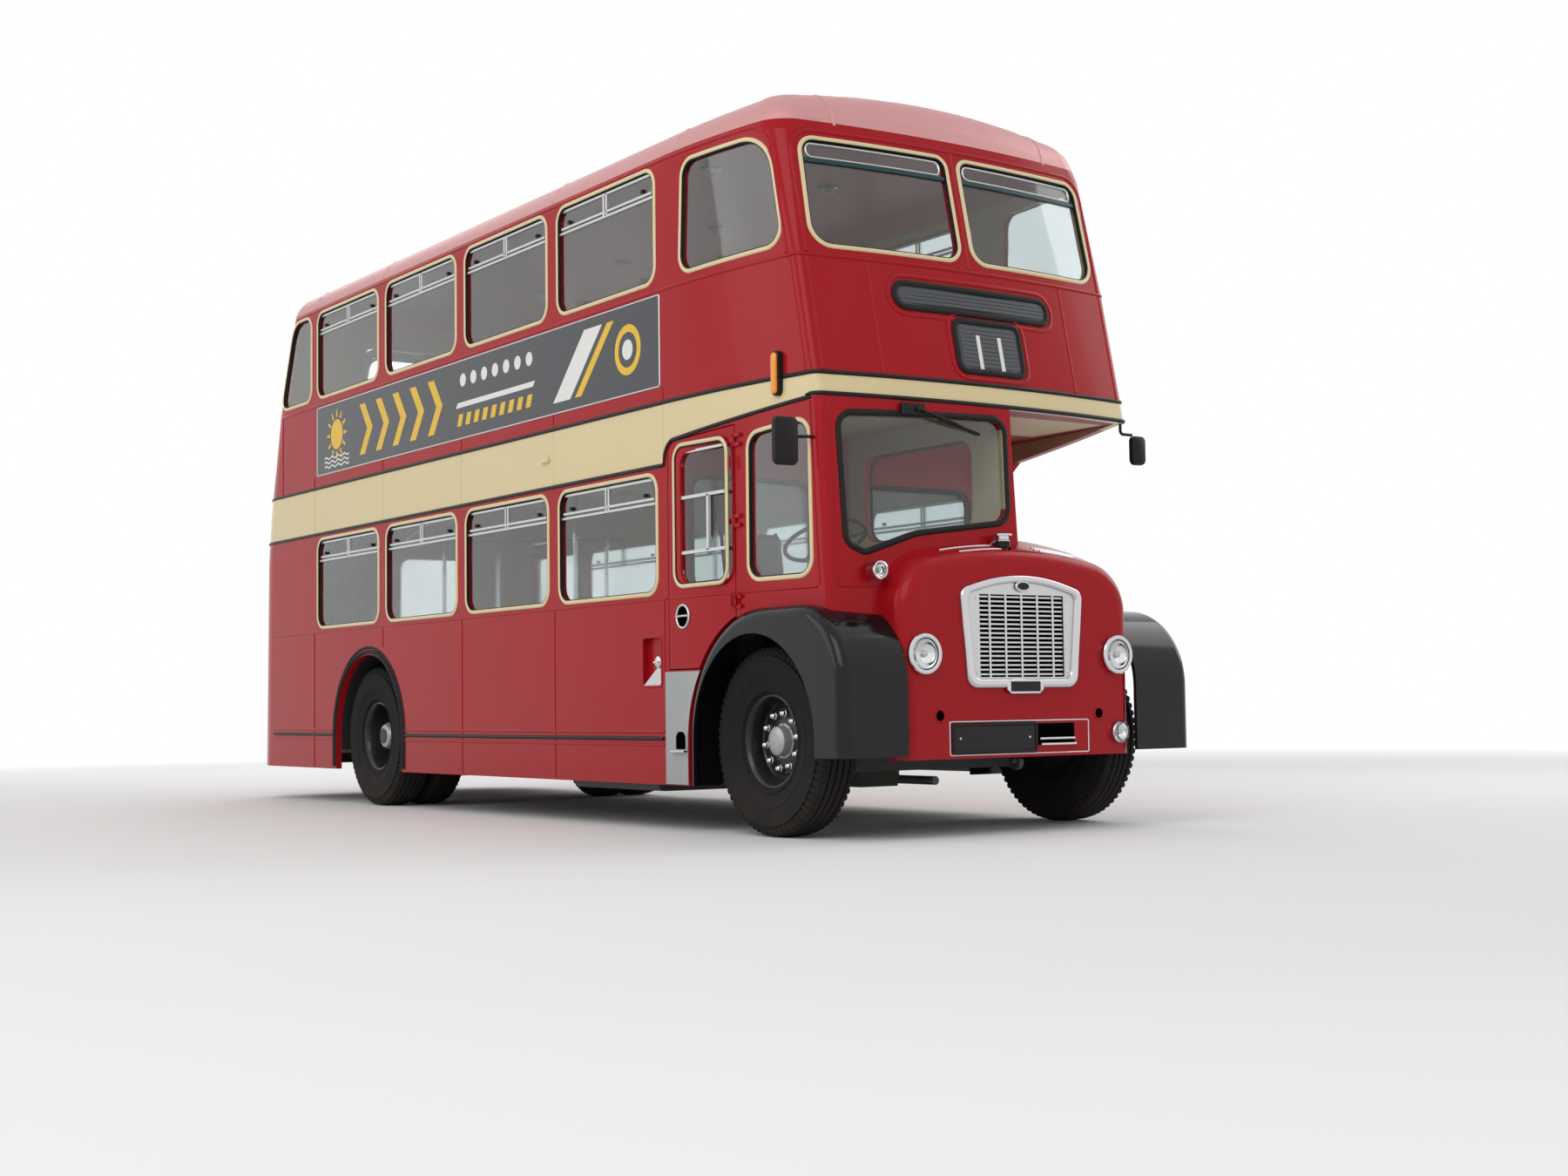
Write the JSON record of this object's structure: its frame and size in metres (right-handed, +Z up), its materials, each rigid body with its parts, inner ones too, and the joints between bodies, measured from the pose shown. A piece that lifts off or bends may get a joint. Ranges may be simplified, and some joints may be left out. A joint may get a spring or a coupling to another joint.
{
  "type": "half-cab double-deck bus",
  "caption": "Half-cab double-deck bus with low floor, enclosed rear platform with folding door, upright grille and separate driver's cab.",
  "frame": {"origin": "on the ground, under the middle of the bus's bounding box", "axes": "+Y along the bus to its rear, +X across it to the nearside (platform side), +Z up"},
  "size_m": [2.645, 8.3778, 4.125],
  "materials": {
    "body_red": "gloss red paint",
    "roof_paint": "weathered pale red paint",
    "black_paint": "gloss black paint",
    "chassis_black": "satin black paint",
    "glass": "clear glass",
    "tyre": "road rubber",
    "bright": "polished bright metal",
    "alloy": "ribbed alloy",
    "cast": "painted casting",
    "seat_cloth": "patterned moquette",
    "blind": "black blind box",
    "floor": "slatted floor",
    "steel": "bare steel"
  },
  "bodies": {
    "body": {"chassis_frame": "chassis_black", "lower_floor": "floor", "wheel_boxes": "floor", "lower_side_offside": "body_red", "lower_side_nearside": "body_red", "lower_ends_nearside": "body_red", "lower_rear": "body_red", "lower_bulkhead": "body_red", "upper_floor": "floor", "upper_side_offside": "body_red", "upper_side_nearside": "body_red", "upper_front": "body_red", "upper_rear": "body_red", "roof": "roof_paint", "cab_side": "body_red", "cab_front": "body_red", "cab_inner_side": "body_red", "cab_floor": "alloy", "front_cowl": "body_red", "radiator_grille": "bright", "radiator": "cast", "lamps": "bright", "front_wing_offside": "black_paint", "front_wing_nearside": "black_paint", "body_glass": "glass", "destination_boxes": "blind", "seat_cushions": "seat_cloth", "seat_frames": "bright", "staircase": "alloy", "driver_seat": "seat_cloth", "steering_column": "chassis_black", "engine": "cast", "driveline": "cast", "fuel_tank": "chassis_black", "exhaust": "steel", "front_axle": "chassis_black", "rear_axle": "chassis_black", "mirrors": "black_paint", "towing_eye": "chassis_black"},
    "knuckle_offside": {"knuckle_offside": "chassis_black"},
    "knuckle_nearside": {"knuckle_nearside": "chassis_black"},
    "track_rod": {"track_rod": "chassis_black"},
    "front_wheel_offside": {"front_wheel_offside": "black_paint", "front_tyre_offside": "tyre"},
    "front_wheel_nearside": {"front_wheel_nearside": "black_paint", "front_tyre_nearside": "tyre"},
    "rear_wheels_offside": {"rear_wheels_offside": "black_paint", "rear_tyres_offside": "tyre"},
    "rear_wheels_nearside": {"rear_wheels_nearside": "black_paint", "rear_tyres_nearside": "tyre"},
    "steering_wheel": {"steering_wheel": "blind"},
    "cab_door": {"cab_door": "body_red", "cab_door_glass": "glass"},
    "bonnet_lid": {"bonnet_lid": "body_red"},
    "platform_leaf_front": {"platform_leaf_front": "body_red", "platform_leaf_glass_front": "glass"},
    "platform_leaf_rear": {"platform_leaf_rear": "body_red", "platform_leaf_glass_rear": "glass"},
    "upper_emergency_window": {"upper_emergency_window": "body_red", "upper_emergency_glass": "glass"}
  },
  "joints": [
    {"name": "steer_offside", "type": "hinge", "parent": "body", "child": "knuckle_offside", "pos_m": [-0.8, -3.37, 0.51], "axis": [0, 0, 1], "range_deg": [-32, 32]},
    {"name": "steer_nearside", "type": "hinge", "parent": "body", "child": "knuckle_nearside", "pos_m": [0.8, -3.37, 0.51], "axis": [0, 0, 1], "range_deg": [-32, 32]},
    {"name": "track_rod_end", "type": "hinge", "parent": "knuckle_offside", "child": "track_rod", "pos_m": [-0.8, -3.19, 0.4], "axis": [0, 0, 1], "range_deg": [-32, 32]},
    {"name": "front_roll_offside", "type": "hinge", "parent": "knuckle_offside", "child": "front_wheel_offside", "pos_m": [-1, -3.37, 0.51], "axis": [1, 0, 0], "continuous": true},
    {"name": "front_roll_nearside", "type": "hinge", "parent": "knuckle_nearside", "child": "front_wheel_nearside", "pos_m": [1, -3.37, 0.51], "axis": [1, 0, 0], "continuous": true},
    {"name": "rear_roll_offside", "type": "hinge", "parent": "body", "child": "rear_wheels_offside", "pos_m": [-0.9, 1.71, 0.51], "axis": [1, 0, 0], "continuous": true},
    {"name": "rear_roll_nearside", "type": "hinge", "parent": "body", "child": "rear_wheels_nearside", "pos_m": [0.9, 1.71, 0.51], "axis": [1, 0, 0], "continuous": true},
    {"name": "steering_wheel_turn", "type": "hinge", "parent": "body", "child": "steering_wheel", "pos_m": [-0.69, -3.33, 1.6], "axis": [0, 0.4226, 0.9063], "range_deg": [-450, 450]},
    {"name": "cab_door_hinge", "type": "hinge", "parent": "body", "child": "cab_door", "pos_m": [-1.203, -3.1915, 1.5], "axis": [0, 0, 1], "range_deg": [0, 75]},
    {"name": "bonnet_lid_hinge", "type": "hinge", "parent": "body", "child": "bonnet_lid", "pos_m": [0.139, -3.19, 1.61], "axis": [0, -1, 0], "range_deg": [0, 70]},
    {"name": "platform_front_leaf_hinge", "type": "hinge", "parent": "body", "child": "platform_leaf_front", "pos_m": [1.1935, 2.822, 1.2], "axis": [0, 0, 1], "range_deg": [0, 80]},
    {"name": "platform_fold_hinge", "type": "hinge", "parent": "platform_leaf_front", "child": "platform_leaf_rear", "pos_m": [1.218, 3.23, 1.2], "axis": [0, 0, 1], "range_deg": [-160, 0]},
    {"name": "emergency_window_hinge", "type": "hinge", "parent": "body", "child": "upper_emergency_window", "pos_m": [0, 3.6302, 3.7504], "axis": [1, 0, 0], "range_deg": [0, 80]}
  ],
  "couplings": [
    {"joint": "steer_nearside", "follows": "steer_offside", "ratio": 1},
    {"joint": "track_rod_end", "follows": "steer_offside", "ratio": -1},
    {"joint": "steering_wheel_turn", "follows": "steer_offside", "ratio": 14},
    {"joint": "platform_fold_hinge", "follows": "platform_front_leaf_hinge", "ratio": -2}
  ]
}
